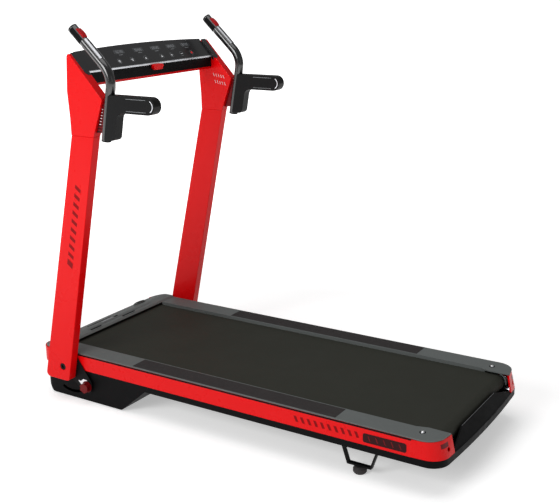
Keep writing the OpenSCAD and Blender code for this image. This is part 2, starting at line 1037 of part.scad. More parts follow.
// Straight tube in the (y, z) plane from p along dir
module tube_run(p, dir, length, r) {
  angle = atan2(dir[1], dir[0]);
  translate([handle_x, p[0], p[1]])
    rotate([angle - 90, 0, 0])
      cylinder(h = length, r = r, $fn = round_fn);
}

// The bend, with a wall of its own or solid; the straight runs reach a little way into its ends
module handle_bend(r_out, r_in) {
  translate([handle_x, bend_centre[0], bend_centre[1]])
    rotate([90, 0, 90])
      rotate([0, 0, high_angle + 90])
        rotate_extrude(angle = bend_turn, $fn = round_fn)
          translate([bend_r, 0])
            difference() {
              circle(r = r_out, $fn = 48);
              if (r_in > 0) {
                circle(r = r_in, $fn = 48);
              }
            }
}

module handle_solid(r) {
  tube_run(handle_foot, low_dir, norm(bend_start - handle_foot), r);
  tube_run(bend_end, high_dir, norm(handle_tip - bend_end), r);
  handle_bend(r, 0);
}

// Straight run with a bore, ends included
module hollow_run(p, dir, length) {
  difference() {
    tube_run(p, dir, length, tube_r - spigot_step);
    tube_run(p - dir, dir, length + 2, tube_r - tube_wall - spigot_step);
  }
}

// Frame of the quick key: u along the tube towards its foot, v out of the tube on the user's side
key_mid = handle_tip - high_dir * quick_key_at;
key_out = [-high_dir[1], high_dir[0]];
quick_pin_r = 1.5;
key_pivot = key_mid + key_out * 9;

module key_block(length, width, low, high) {
  translate([handle_x, key_mid[0], key_mid[1]])
    rotate([high_angle, 0, 0])
      translate([-width / 2, -length / 2, low])
        cube([width, length, high - low]);
}

module key_pin(reach, r) {
  rod(handle_x - reach, handle_x + reach, key_pivot[0], key_pivot[1], r);
}

module handle(right) {
  color("#202225")
    on_side(right) {
      hollow_run(handle_foot, low_dir, norm(bend_start - handle_foot) + spigot_l);
      handle_bend(tube_r, tube_r - tube_wall);
      difference() {
        hollow_run(bend_end - high_dir * spigot_l, high_dir, norm(handle_tip - bend_end) + spigot_l);
        key_block(quick_key_l + 1.6, quick_key_w + 1.6, 0, tube_r + 2);
        key_pin(quick_key_w / 2 + 2.3, quick_pin_r + fit);
      }
    }
}

module handle_left() { handle(false); }
module handle_right() { handle(true); }

module handle_caps() {
  lip = 4;
  color("#0f1011")
    both_sides() {
      tube_run(handle_tip, high_dir, lip, tube_r);
      tube_run(handle_tip - high_dir * 8, high_dir, 8, tube_r - tube_wall - spigot_step);
      tube_run(handle_foot - low_dir * lip, low_dir, lip, tube_r);
      tube_run(handle_foot, low_dir, 8, tube_r - tube_wall - spigot_step);
    }
}

module quick_key(right) {
  color("#d8161c")
    on_side(right) {
      intersection() {
        key_block(quick_key_l, quick_key_w, tube_r - 8, tube_r + 2.4);
        translate([handle_x - quick_key_w, key_mid[0], key_mid[1]])
          rotate([high_angle, 0, 0])
            translate([0, 0, tube_r - 58.6])
              rotate([0, 90, 0])
                cylinder(h = 2 * quick_key_w, r = 61, $fn = 128);
      }
      key_pin(quick_key_w / 2 + 2, quick_pin_r);
    }
}

module quick_key_left() { quick_key(false); }
module quick_key_right() { quick_key(true); }

// Chrome half shells on the user's side of the upper tube
module pulse_plates() {
  from = quick_key_at + quick_key_l / 2 + 5;
  length = 74;
  color("#d5d8dc")
    both_sides()
      intersection() {
        difference() {
          tube_run(handle_tip - high_dir * (from + length), high_dir, length, tube_r + 1.2);
          tube_run(handle_tip - high_dir * (from + length + 1), high_dir, length + 2, tube_r + 0.02);
        }
        translate([handle_x, key_mid[0], key_mid[1]])
          rotate([high_angle, 0, 0])
            translate([-9, -200, 4])
              cube([18, 200, 20]);
      }
}

// Moulded block between a post head and its handle
module handle_brackets() {
  w = 12;
  color("#141517")
    both_sides()
      difference() {
        along_x(handle_x - w / 2, handle_x + w / 2)
          polygon([
            [head_rear(862) - slack, 862], [head_rear(948) - slack, 948], handle_foot + low_dir * 106,
            handle_foot + low_dir * 20
          ]);
        handle_solid(tube_r);
      }
}

module arm_pads() {
  w = 30;
  arm_low = 924;
  arm_end = front - 546;
  back = 4;
  side = [-low_dir[1], low_dir[0]];
  low_p = handle_foot + side * back;
  arm_high = arm_low + 2 * pad_r;
  top_p = low_p + low_dir * ((arm_high - low_p[1]) / low_dir[1]);
  rear_p = low_p + side * 38 + low_dir * 10;
  turn_p = rear_p + low_dir * ((arm_low - rear_p[1]) / low_dir[1]);
  color("#1d1e20")
    both_sides()
      difference() {
        along_x(handle_x - w / 2, handle_x + w / 2)
          polygon(rounded(
            [low_p, rear_p, turn_p, [arm_end, arm_low], [arm_end, arm_high], top_p],
            [4, 14, 20, pad_r - 0.1, pad_r - 0.1, 6]
          ));
        handle_solid(tube_r);
      }
}

main_rails();
cross_members();
running_board();
board_brackets();
board_cushions();
running_belt();
front_roller();
roller_pulley();
rear_roller();
roller_shafts();
roller_bearings();
roller_brackets();
tension_screws();
foot_rail_left();
foot_rail_right();
grip_pads();
side_rail_left();
side_rail_right();
front_caps();
rear_caps();
skirts();
rear_bumper();
front_cover();
belly_pan();
motor_body();
motor_rotor();
motor_bracket();
drive_belt();
controller();
mains_inlet();
mains_switch();
transport_wheel_left();
transport_wheel_right();
wheel_axles();
front_feet();
rear_legs();
rear_feet();
pivot_bolts();
deck_screws();
post_left();
post_right();
post_head_left();
post_head_right();
pivot_bushes();
lock_plates();
lock_knob_left();
lock_knob_right();
crossbeam();
console_housing();
console_panel();
console_trim();
safety_key();
handle_left();
handle_right();
handle_caps();
handle_brackets();
arm_pads();
pulse_plates();
quick_key_left();
quick_key_right();
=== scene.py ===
"""Looks of the folding treadmill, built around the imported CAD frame. Lengths here are millimetres unless a
name says otherwise; MM turns them into Blender's metres."""
import json
import math

import bmesh
import bpy
from mathutils import Matrix, Vector
from mathutils.bvhtree import BVHTree


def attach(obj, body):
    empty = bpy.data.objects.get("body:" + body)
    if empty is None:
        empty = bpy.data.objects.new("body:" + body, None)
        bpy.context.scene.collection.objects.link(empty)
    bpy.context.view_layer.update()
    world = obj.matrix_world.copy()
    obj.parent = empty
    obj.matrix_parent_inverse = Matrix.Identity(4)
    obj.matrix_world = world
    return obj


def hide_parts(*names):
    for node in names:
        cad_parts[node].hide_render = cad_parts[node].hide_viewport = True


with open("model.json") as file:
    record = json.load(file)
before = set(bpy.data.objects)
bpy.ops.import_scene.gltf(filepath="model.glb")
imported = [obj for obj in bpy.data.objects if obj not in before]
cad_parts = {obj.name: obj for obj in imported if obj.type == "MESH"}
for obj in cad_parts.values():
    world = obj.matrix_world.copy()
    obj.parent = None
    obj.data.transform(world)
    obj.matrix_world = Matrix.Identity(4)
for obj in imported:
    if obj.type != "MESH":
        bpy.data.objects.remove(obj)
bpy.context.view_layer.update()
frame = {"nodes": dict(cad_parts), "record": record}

MM = 0.001
SCENE = bpy.context.scene

# ---- Materials ----


def srgb(r, g, b):
    """An sRGB colour of 0 to 255 as linear RGBA."""
    def channel(c):
        c /= 255
        return c / 12.92 if c <= 0.04045 else ((c + 0.055) / 1.055) ** 2.4
    return (channel(r), channel(g), channel(b), 1.0)


class Shader:
    """A Principled material whose colour, roughness and bump come from nodes in object space."""

    def __init__(self, name, colour, rough, metal=0.0, coat=0.0, vary=0.08, vary_scale=9.0, rough_vary=0.05,
                 specular=0.5, sheen=0.0, second=None):
        self.material = bpy.data.materials.new(name)
        self.material.use_nodes = True
        self.tree = self.material.node_tree
        self.bsdf = self.tree.nodes["Principled BSDF"]
        self.bsdf.inputs["Metallic"].default_value = metal
        self.bsdf.inputs["Coat Weight"].default_value = coat
        self.bsdf.inputs["Coat Roughness"].default_value = 0.08
        self.bsdf.inputs["Specular IOR Level"].default_value = specular
        self.bsdf.inputs["Sheen Weight"].default_value = sheen
        self.coords = self.node("ShaderNodeTexCoord")
        self.height = None
        patch = self.noise(vary_scale, detail=5.0)
        mix = self.node("ShaderNodeMix")
        mix.data_type = "RGBA"
        dark = tuple(c * (1 - vary) for c in colour[:3]) + (1.0,)
        light = second or tuple(min(1.0, c * (1 + vary)) for c in colour[:3]) + (1.0,)
        mix.inputs["A"].default_value = dark
        mix.inputs["B"].default_value = light
        self.link(patch, mix.inputs["Factor"])
        self.link(mix.outputs["Result"], self.bsdf.inputs["Base Color"])
        spread = self.node("ShaderNodeMapRange")
        spread.inputs["From Min"].default_value = 0.3
        spread.inputs["From Max"].default_value = 0.7
        spread.inputs["To Min"].default_value = max(0.02, rough - rough_vary)
        spread.inputs["To Max"].default_value = min(1.0, rough + rough_vary)
        self.link(self.noise(vary_scale * 3.1, detail=4.0), spread.inputs["Value"])
        self.link(spread.outputs["Result"], self.bsdf.inputs["Roughness"])

    def node(self, kind):
        return self.tree.nodes.new(kind)

    def link(self, a, b):
        self.tree.links.new(a, b)

    def scaled(self, scale):
        mapping = self.node("ShaderNodeMapping")
        mapping.inputs["Scale"].default_value = scale
        self.link(self.coords.outputs["Object"], mapping.inputs["Vector"])
        return mapping.outputs["Vector"]

    def noise(self, scale, detail=2.0, stretch=(1.0, 1.0, 1.0)):
        n = self.node("ShaderNodeTexNoise")
        n.inputs["Scale"].default_value = scale
        n.inputs["Detail"].default_value = detail
        self.link(self.scaled(stretch), n.inputs["Vector"])
        return n.outputs["Fac"]

    def cells(self, scale, stretch=(1.0, 1.0, 1.0)):
        n = self.node("ShaderNodeTexVoronoi")
        n.inputs["Scale"].default_value = scale
        self.link(self.scaled(stretch), n.inputs["Vector"])
        return n.outputs["Distance"]

    def waves(self, scale, direction):
        n = self.node("ShaderNodeTexWave")
        n.bands_direction = direction
        n.inputs["Scale"].default_value = scale
        self.link(self.coords.outputs["Object"], n.inputs["Vector"])
        return n.outputs["Fac"]

    def math(self, operation, a, b):
        n = self.node("ShaderNodeMath")
        n.operation = operation
        self.link(a, n.inputs[0])
        self.link(b, n.inputs[1])
        return n.outputs["Value"]

    def bump(self, height, strength, depth_mm):
        n = self.node("ShaderNodeBump")
        n.inputs["Strength"].default_value = strength
        n.inputs["Distance"].default_value = depth_mm * MM
        self.link(height, n.inputs["Height"])
        self.link(n.outputs["Normal"], self.bsdf.inputs["Normal"])
        return self

    def done(self):
        return self.material


def painted(name, colour, rough=0.3, coat=0.1):
    s = Shader(name, colour, rough, coat=coat, vary=0.04, vary_scale=3.0, specular=0.1)
    return s.bump(s.noise(90.0, detail=1.0), 0.05, 0.05).done()


def moulded(name, colour, rough=0.5, grain=900.0, strength=0.35, coat=0.0, vary=0.08, specular=0.25):
    """Injection-moulded plastic with a spark-eroded grain."""
    s = Shader(name, colour, rough, coat=coat, vary=vary, vary_scale=14.0, specular=specular)
    fine = s.math("ADD", s.cells(grain), s.noise(grain * 0.45, detail=3.0))
    return s.bump(fine, strength, 0.08).done()


def rubber(name, colour, rough=0.75, grain=1400.0):
    s = Shader(name, colour, rough, vary=0.1, vary_scale=22.0, specular=0.2)
    fine = s.math("ADD", s.cells(grain), s.noise(grain * 0.3, detail=4.0))
    return s.bump(fine, 0.5, 0.12).done()


def belt_cloth(name, colour):
    """Running belt: a fine diamond relief pressed into PVC, with long faint streaks along the run."""
    streaked = tuple(c * 1.1 for c in colour[:3]) + (1.0,)
    s = Shader(name, colour, 0.66, vary=0.04, vary_scale=2.0, second=streaked, specular=0.16)
    relief = s.math("MULTIPLY", s.waves(180.0, "X"), s.waves(180.0, "Y"))
    grain = s.math("ADD", relief, s.noise(1500.0, detail=2.0))
    return s.bump(grain, 0.45, 0.22).done()


def metal(name, colour, rough, stretch=(1.0, 60.0, 60.0), strength=0.12, vary=0.06):
    s = Shader(name, colour, rough, metal=1.0, vary=vary, vary_scale=30.0, rough_vary=0.06)
    return s.bump(s.noise(40.0, detail=3.0, stretch=stretch), strength, 0.05).done()


def glossy(name, colour, rough=0.08, coat=0.8):
    s = Shader(name, colour, rough, coat=coat, vary=0.05, vary_scale=5.0, rough_vary=0.03)
    return s.bump(s.noise(18.0, detail=1.0), 0.04, 0.3).done()


def wooden(name, colour):
    second = tuple(c * 1.8 for c in colour[:3]) + (1.0,)
    s = Shader(name, colour, 0.55, vary=0.2, vary_scale=26.0, second=second)
    return s.bump(s.noise(90.0, detail=6.0, stretch=(6.0, 0.6, 6.0)), 0.25, 0.2).done()


RED_PAINT = painted("red paint", srgb(206, 4, 8), 0.3, coat=0.05)
RED_GLOSS = moulded("red plastic", srgb(206, 4, 8), 0.3, grain=500.0, strength=0.02, coat=0.07, vary=0.04,
                    specular=0.1)
RED_KEY = moulded("key plastic", srgb(150, 6, 12), 0.34, grain=500.0, strength=0.05, coat=0.1, specular=0.12)
RED_DEEP = moulded("deep red plastic", srgb(98, 4, 10), 0.3, grain=500.0, strength=0.05, coat=0.05,
                   specular=0.12)
GREY = moulded("grey moulding", srgb(92, 96, 95), 0.52, strength=0.3, specular=0.2)
GRIP = rubber("grip rubber", srgb(51, 48, 48), 0.66)
BELT = belt_cloth("running belt", srgb(42, 43, 37))
BLACK = moulded("black moulding", srgb(8, 8, 9), 0.5, strength=0.3, specular=0.06)
PAD = moulded("pad foam skin", srgb(12, 12, 13), 0.38, grain=520.0, strength=0.4, specular=0.12)
FOAM = moulded("handle sleeve", srgb(8, 8, 9), 0.24, grain=1100.0, strength=0.1, coat=0.9, specular=0.4)
PANEL = glossy("console face", srgb(20, 20, 22), 0.3, 0.2)
WINDOW = glossy("display glass", srgb(46, 48, 51), 0.12, 0.6)
BLACK_METAL = painted("black powder coat", srgb(9, 9, 10), 0.5, coat=0.0)
STEEL = metal("turned steel", srgb(170, 171, 174), 0.28)
ZINC = metal("zinc plate", srgb(190, 190, 184), 0.36, stretch=(1.0, 1.0, 1.0))
CHROME = metal("chrome", srgb(222, 223, 228), 0.14, strength=0.02)
NICKEL = metal("nickel", srgb(245, 245, 246), 0.42, strength=0.02)
SATIN = metal("satin chrome", srgb(170, 171, 174), 0.3, strength=0.02)
ALUMINIUM = metal("aluminium", srgb(186, 188, 192), 0.34)
BRASS = metal("brass", srgb(200, 168, 96), 0.3)
SILVER = metal("silver trim", srgb(200, 202, 206), 0.3, strength=0.03)
BOARD = wooden("board laminate", srgb(62, 50, 38))
PRINT = moulded("light print", srgb(205, 207, 209), 0.6, strength=0.1)
PRINT_DIM = moulded("dim print", srgb(128, 130, 133), 0.6, strength=0.1)
PRINT_RED = moulded("red print", srgb(206, 34, 40), 0.5, strength=0.1)
RED_MARK = moulded("dark red print", srgb(122, 4, 8), 0.4, strength=0.02, specular=0.08)
DARK_PRINT = moulded("dark inlay", srgb(44, 5, 8), 0.42, strength=0.1, coat=0.05, specular=0.1)
ACCENT = glossy("dark accent", srgb(40, 42, 42), 0.3, 0.3)

NODE_LOOKS = {
    "main_rails": BLACK_METAL, "cross_members": BLACK_METAL, "running_board": BOARD, "board_brackets": ZINC,
    "board_cushions": GRIP, "running_belt": BELT, "front_roller": STEEL, "roller_pulley": ALUMINIUM,
    "rear_roller": STEEL, "roller_shafts": STEEL, "roller_bearings": STEEL, "roller_brackets": SATIN,
    "tension_screws": ZINC, "motor_body": BLACK_METAL, "motor_rotor": STEEL, "motor_bracket": BLACK_METAL,
    "drive_belt": GRIP, "controller": ALUMINIUM, "wheel_axles": ZINC, "pivot_bolts": BLACK_METAL,
    "pivot_bushes": BRASS, "console_trim": SILVER, "pulse_plates": SATIN, "deck_screws": CHROME,
}


# ---- Mesh building ----


def sharpen(bm, angle):
    """Smooth faces, with edges above angle (degrees) kept sharp."""
    for face in bm.faces:
        face.smooth = True
    for edge in bm.edges:
        bent = len(edge.link_faces) != 2 or edge.calc_face_angle(0.0) > math.radians(angle)
        edge.smooth = not bent


def baked(obj):
    """Applies the modifiers of obj to its mesh."""
    bpy.context.view_layer.update()
    deps = bpy.context.evaluated_depsgraph_get()
    mesh = bpy.data.meshes.new_from_object(obj.evaluated_get(deps))
    obj.modifiers.clear()
    obj.data = mesh
    return obj


def broken_edges(obj, width, segments, angle, soft_above=None, soft=1.0):
    """Rounds the edges of obj that are sharper than angle, those above the height soft_above soft times as
    much as the others."""
    bevel = obj.modifiers.new("edges", "BEVEL")
    bevel.width = width * soft * MM
    bevel.segments = segments
    bevel.limit_method = "ANGLE"
    bevel.angle_limit = math.radians(angle)
    if soft_above is not None:
        mesh = obj.data
        weights = mesh.attributes.new("bevel_weight_edge", "FLOAT", "EDGE")
        bm = bmesh.new()
        bm.from_mesh(mesh)
        bm.edges.ensure_lookup_table()
        for edge in bm.edges:
            low = min(v.co.z for v in edge.verts)
            sharp = len(edge.link_faces) == 2 and edge.calc_face_angle(0.0) > math.radians(angle)
            weights.data[edge.index].value = (1.0 if low > soft_above * MM else 1.0 / soft) if sharp else 0.0
        bm.free()
        bevel.limit_method = "WEIGHT"
    bevel.use_clamp_overlap = True
    bevel.harden_normals = True
    bevel.miter_outer = "MITER_ARC"
    return baked(obj)


def add_piece(name, mesh, material, body):
    obj = bpy.data.objects.new(name, mesh)
    SCENE.collection.objects.link(obj)
    mesh.materials.clear()
    mesh.materials.append(material)
    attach(obj, body)
    return obj


BODY_OF = {n: b for b, ns in frame["record"]["behaviour"]["bodies"].items() for n in ns}
# Metres within which vertices are one, and degrees below which two faces are one
WELD, FLAT_ANGLE = 2e-6, 0.4


def refined(node, material, edge=0.0, segments=3, angle=30.0, smooth=30.0, soft_above=None, soft=1.0):
    """A copy of a CAD node with its edges broken, which stands for that node."""
    mesh = frame["nodes"][node].data.copy()
    bm = bmesh.new()
    bm.from_mesh(mesh)
    bmesh.ops.remove_doubles(bm, verts=bm.verts, dist=WELD)
    bmesh.ops.dissolve_limit(bm, angle_limit=math.radians(FLAT_ANGLE), verts=bm.verts, edges=bm.edges)
    bmesh.ops.recalc_face_normals(bm, faces=bm.faces)
    sharpen(bm, smooth)
    bm.to_mesh(mesh)
    bm.free()
    if "custom_normal" in mesh.attributes:
        mesh.attributes.remove(mesh.attributes["custom_normal"])
    obj = bpy.data.objects.new(node + "_look", mesh)
    SCENE.collection.objects.link(obj)
    if edge:
        broken_edges(obj, edge, segments, angle, soft_above, soft)
    obj.data.materials.clear()
    obj.data.materials.append(material)
    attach(obj, BODY_OF[node])
    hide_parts(node)
    return obj


class Build:
    """Collects closed solids into one mesh. Points are in millimetres."""

    def __init__(self):
        self.verts = []
        self.faces = []

    def prism(self, outline, depth):
        n = len(outline)
        base = len(self.verts)
        self.verts += [Vector(p) for p in outline] + [Vector(p) + Vector(depth) for p in outline]
        self.faces.append([base + i for i in reversed(range(n))])
        self.faces.append([base + n + i for i in range(n)])
        for i in range(n):
            j = (i + 1) % n
            self.faces.append([base + i, base + j, base + n + j, base + n + i])

    def bar(self, centre, u, v, depth, half_u, half_v):
        """A block about centre with half sizes along u and v, and depth as its third edge."""
        c, u, v = Vector(centre), Vector(u).normalized() * half_u, Vector(v).normalized() * half_v
        self.prism([c - u - v, c + u - v, c + u + v, c - u + v], depth)

    def lathe(self, origin, axis, profile, sides=32):
        """A solid of revolution: profile is (radius, height along axis), from one end to the other."""
        origin, axis = Vector(origin), Vector(axis).normalized()
        side = axis.orthogonal().normalized()
        other = axis.cross(side)
        rings = []
        for radius, height in profile:
            ring = []
            for k in range(sides):
                a = 2 * math.pi * k / sides
                ring.append(len(self.verts))
                outwards = side * math.cos(a) + other * math.sin(a)
                self.verts.append(origin + axis * height + outwards * radius)
            rings.append(ring)
        for a, b in zip(rings, rings[1:]):
            for k in range(sides):
                j = (k + 1) % sides
                self.faces.append([a[k], a[j], b[j], b[k]])
        self.faces.append(list(reversed(rings[0])))
        self.faces.append(rings[-1])

    def make(self, name, material, body, slot, edge=0.0, segments=2, smooth=35.0):
        bm = bmesh.new()
        verts = [bm.verts.new(v * MM) for v in self.verts]
        for face in self.faces:
            bm.faces.new([verts[i] for i in face])
        bmesh.ops.recalc_face_normals(bm, faces=bm.faces)
        sharpen(bm, smooth)
        mesh = bpy.data.meshes.new(name)
        bm.to_mesh(mesh)
        bm.free()
        obj = add_piece(name, mesh, material, body)
        if edge:
            broken_edges(obj, edge, segments, 30.0)
        return obj


def box_points(cx, cy, half_x, half_y):
    corners = ((-1, -1), (1, -1), (1, 1), (-1, 1))
    return [(cx + a * half_x, cy + b * half_y) for a, b in corners]


def rounded_box(cx, cy, half_x, half_y, r, n=5):
    """Outline of a rectangle with round corners, as 2-D points."""
    points = []
    for k, (sx, sy) in enumerate(((1, 1), (-1, 1), (-1, -1), (1, -1))):
        x, y = cx + sx * (half_x - r), cy + sy * (half_y - r)
        for i in range(n + 1):
            a = math.radians(90 * k + 90 * i / n)
            points.append((x + r * math.cos(a), y + r * math.sin(a)))
    return points


def ring_points(cx, cy, radius, n):
    turns = [2 * math.pi * i / n for i in range(n)]
    return [(cx + radius * math.cos(a), cy + radius * math.sin(a)) for a in turns]


def ring_tiles(inner, outer, count, start=0.0, sweep=360.0, filled=1.0):
    """Tiles that pave a ring about (0, 0), or a disc where inner is 0. Each takes filled of its step."""
    step = math.radians(sweep / count)
    tiles = []
    for i in range(count):
        a0 = math.radians(start) + step * i
        a1 = a0 + step * filled
        within = ((inner, a0), (inner, a1)) if inner else ((0.0, a0),)
        corners = within + ((outer, a1), (outer, a0))
        tiles.append([(r * math.cos(a), r * math.sin(a)) for r, a in corners])
    return tiles


SIDES = (-1, 1)


def surface(node):
    """A search tree of a CAD node's faces, to lay pieces on."""
    mesh = frame["nodes"][node].data
    places = [v.co.copy() for v in mesh.vertices]
    return BVHTree.FromPolygons(places, [list(p.vertices) for p in mesh.polygons])


def draped(build, tree, outline, along, lift, thick):
    """Lays a thin plate on a surface: each point of outline moves along the direction until it meets it."""
    along = Vector(along).normalized()
    landed = []
    for point in outline:
        hit = tree.ray_cast(Vector(point) * MM, along)[0]
        landed.append(hit / MM - along * lift)
    build.prism(landed, -along * thick)


# ---- CAD nodes: material only, or a copy with broken edges ----

for node_name, look in NODE_LOOKS.items():
    data = frame["nodes"][node_name].data
    data.materials.clear()
    data.materials.append(look)

# Node, material and width of its broken edges. A width of 0 keeps the CAD's edges.
REFINED = (
    ("foot_rail_left", GREY, 1.0), ("foot_rail_right", GREY, 1.0), ("grip_pads", GRIP, 0.5),
    ("side_rail_left", RED_GLOSS, 1.6), ("side_rail_right", RED_GLOSS, 1.6), ("front_caps", RED_GLOSS, 1.6),
    ("skirts", BLACK, 1.0), ("rear_bumper", BLACK, 0.8), ("front_cover", GREY, 1.2),
    ("belly_pan", BLACK, 1.5), ("mains_inlet", BLACK, 0.0), ("mains_switch", RED_GLOSS, 0.6),
    ("transport_wheel_left", BLACK, 1.0), ("transport_wheel_right", BLACK, 1.0), ("front_feet", GRIP, 0.8),
    ("rear_legs", BLACK_METAL, 0.9), ("rear_feet", GRIP, 1.0), ("post_left", RED_PAINT, 2.6),
    ("post_right", RED_PAINT, 2.6), ("lock_plates", BLACK_METAL, 0.4), ("lock_knob_left", RED_DEEP, 0.8),
    ("lock_knob_right", RED_DEEP, 0.8), ("crossbeam", RED_PAINT, 1.5), ("console_housing", BLACK, 1.2),
    ("console_panel", PANEL, 0.8), ("safety_key", RED_GLOSS, 1.0), ("handle_left", FOAM, 0.0),
    ("handle_right", FOAM, 0.0), ("handle_caps", BLACK, 1.2), ("handle_brackets", RED_DEEP, 1.0),
    ("quick_key_left", RED_KEY, 0.7), ("quick_key_right", RED_KEY, 0.7),
)
HEAD_SOFT = 940.0

for node_name, look, edge_width in REFINED:
    refined(node_name, look, edge_width)
for head in ("post_head_left", "post_head_right"):
    refined(head, RED_GLOSS, 2.6, segments=4, smooth=40.0, soft_above=HEAD_SOFT, soft=2.7)
refined("rear_caps", RED_GLOSS, 0.0, smooth=50.0)
arm_pads = refined("arm_pads", PAD, 5.0, segments=5, smooth=40.0)

# ---- Console's face: windows, digits and touch keys ----

PANEL_FRONT = Vector((0, 454, 1077))
PANEL_REAR = Vector((0, 409, 1028))
DOWN = (PANEL_REAR - PANEL_FRONT).normalized()
OUT = Vector((0, DOWN.z, -DOWN.y)).normalized()
RIGHT = Vector((1, 0, 0))


def on_panel(x, s, lift):
    """A point on the console's face: x across, s down the slope from its front edge."""
    return PANEL_FRONT + RIGHT * x + DOWN * s + OUT * lift


def flat(build, outline, lift, thick):
    build.prism([on_panel(x, s, lift) for x, s in outline], OUT * thick)


WINDOWS = (-117, -30, 51, 128, 202)
WINDOW_ROW = 12
DASH_ROW = 23.4
# The seven strokes of a digit: middle across and down, half width and half height
DIGIT_STROKES = (
    (0, -4.2, 2.0, 0.45), (0, 0, 2.0, 0.45), (0, 4.2, 2.0, 0.45),
    (-2.5, -2.1, 0.45, 1.6), (2.5, -2.1, 0.45, 1.6), (-2.5, 2.1, 0.45, 1.6), (2.5, 2.1, 0.45, 1.6),
)
DIGIT_SLANT = 0.12

bezels, glass, digits = Build(), Build(), Build()
for x in WINDOWS:
    flat(bezels, rounded_box(x, WINDOW_ROW, 23.0, 8.2, 3.0), -0.05, 0.3)
    flat(glass, rounded_box(x, WINDOW_ROW, 21.5, 6.8, 2.2), 0.2, 0.3)
    for digit in (-12, -4.5, 4.5, 12):
        for across, down, half_x, half_s in DIGIT_STROKES:
            middle = on_panel(x + digit + across - down * DIGIT_SLANT, WINDOW_ROW + down, 0.45)
            digits.bar(middle, RIGHT, DOWN, OUT * 0.12, half_x, half_s)
    flat(digits, rounded_box(x, DASH_ROW, 9.0, 0.7, 0.6, n=2), 0.0, 0.12)
bezels.make("window_bezels", ACCENT, "uprights", "black_gloss")
glass.make("window_glass", WINDOW, "uprights", "black_gloss", edge=0.12)
digits.make("window_digits", PRINT_DIM, "uprights", "silver")

KEYS = ((-141, "bars"), (-83, "fan"), (-21, "up"), (56, "up"), (105, "plus"), (156, "minus"), (208, "stop"))
KEY_ROW = 45
PRINT_THICK = 0.15
TRIANGLE = ((0, -4.2), (4.2, 3.4), (-4.2, 3.4))

rings, marks, red_marks = Build(), Build(), Build()
for x, sign in KEYS:
    if sign == "up":
        flat(marks, [(x + a, KEY_ROW + b) for a, b in TRIANGLE], 0.0, PRINT_THICK)
    elif sign == "stop":
        flat(red_marks, rounded_box(x, KEY_ROW, 3.8, 3.8, 0.8), 0.0, PRINT_THICK)
    elif sign == "bars":
        for side in SIDES:
            flat(marks, rounded_box(x + side * 2.2, KEY_ROW, 1.1, 4.4, 0.8), 0.0, PRINT_THICK)
    elif sign == "fan":
        for turn in (90, 210, 330):
            a = math.radians(turn)
            blade = ring_points(x + 2.9 * math.cos(a), KEY_ROW + 2.9 * math.sin(a), 1.9, 14)
            flat(marks, blade, 0.0, PRINT_THICK)
    else:
        flat(marks, rounded_box(x, KEY_ROW, 4.2, 0.9, 0.6), 0.0, PRINT_THICK)
        if sign == "plus":
            flat(marks, rounded_box(x, KEY_ROW, 0.9, 4.2, 0.6), 0.0, PRINT_THICK + 0.01)
    for tile in ring_tiles(7.6, 8.2, 24, filled=0.72):
        flat(rings, [(x + a, KEY_ROW + b) for a, b in tile], 0.0, 0.1)
rings.make("key_rings", PRINT_DIM, "uprights", "silver")
marks.make("key_marks", PRINT, "uprights", "silver")
red_marks.make("key_stop_mark", PRINT_RED, "uprights", "red_plastic")

# ---- Console's front side: air slots, a seam and screws ----

SUNK = -0.1
REARWARDS = (0, -1, 0)
housing = surface("console_housing")
back_slots, back_screws = Build(), Build()


def before_console(corners):
    """Points ahead of the console, from x and z, to be laid on its front side."""
    return [(x, 560, z) for x, z in corners]


for side in SIDES:
    for k in range(9):
        slot = box_points(side * (150 + 9 * k), 1046, 1.6, 9)
        draped(back_slots, housing, before_console(slot), REARWARDS, SUNK, 0.4)
    for x in (side * 270, side * 70):
        draped(back_screws, housing, before_console(ring_points(x, 1028, 4, 18)), REARWARDS, SUNK, 0.9)
for x in range(-280, 280, 20):
    seam = box_points(x + 10, 1019.2, 10, 0.6)
    draped(back_slots, housing, before_console(seam), REARWARDS, SUNK, 0.3)
back_slots.make("console_back_slots", GRIP, "uprights", "black_moulding")
back_screws.make("console_back_screws", ZINC, "uprights", "zinc")

# ---- Heads: slanted strokes inside, a black cap on top, and a ladder of slots on each handle bracket ----

HEAD_IN = 297.0
HEAD_FRONT = Vector((0, 450, 1081))
HEAD_REAR = Vector((0, 334, 957))
EDGE_DOWN = (HEAD_REAR - HEAD_FRONT).normalized()
EDGE_OUT = Vector((0, EDGE_DOWN.z, -EDGE_DOWN.y))
# The cap's plan, down the head's upper edge and outwards, and the trim below it, in y and z
CAP_PLAN = ((0, 0), (0, 19), (73, 19), (81, 11), (81, 0))
CAP_TRIM = ((449, 1078.5), (401, 1027), (401, 1010), (428, 1040), (449, 1062))
STROKE_ROWS = ((402.0, 966.0), (397.0, 944.0))
BRACKET_OUT = 318.4
LADDER_LOW, LADDER_STEP = 862.0, 4.2
UP, AHEAD = (0, 0, 1), (0, 1, 0)


def bracket_span(z):
    """The rear and front edge of the ladder on a handle bracket at height z."""
    return 352.5 - (z - 844) * 0.1833, 373.0 - (z - 850) * 0.372


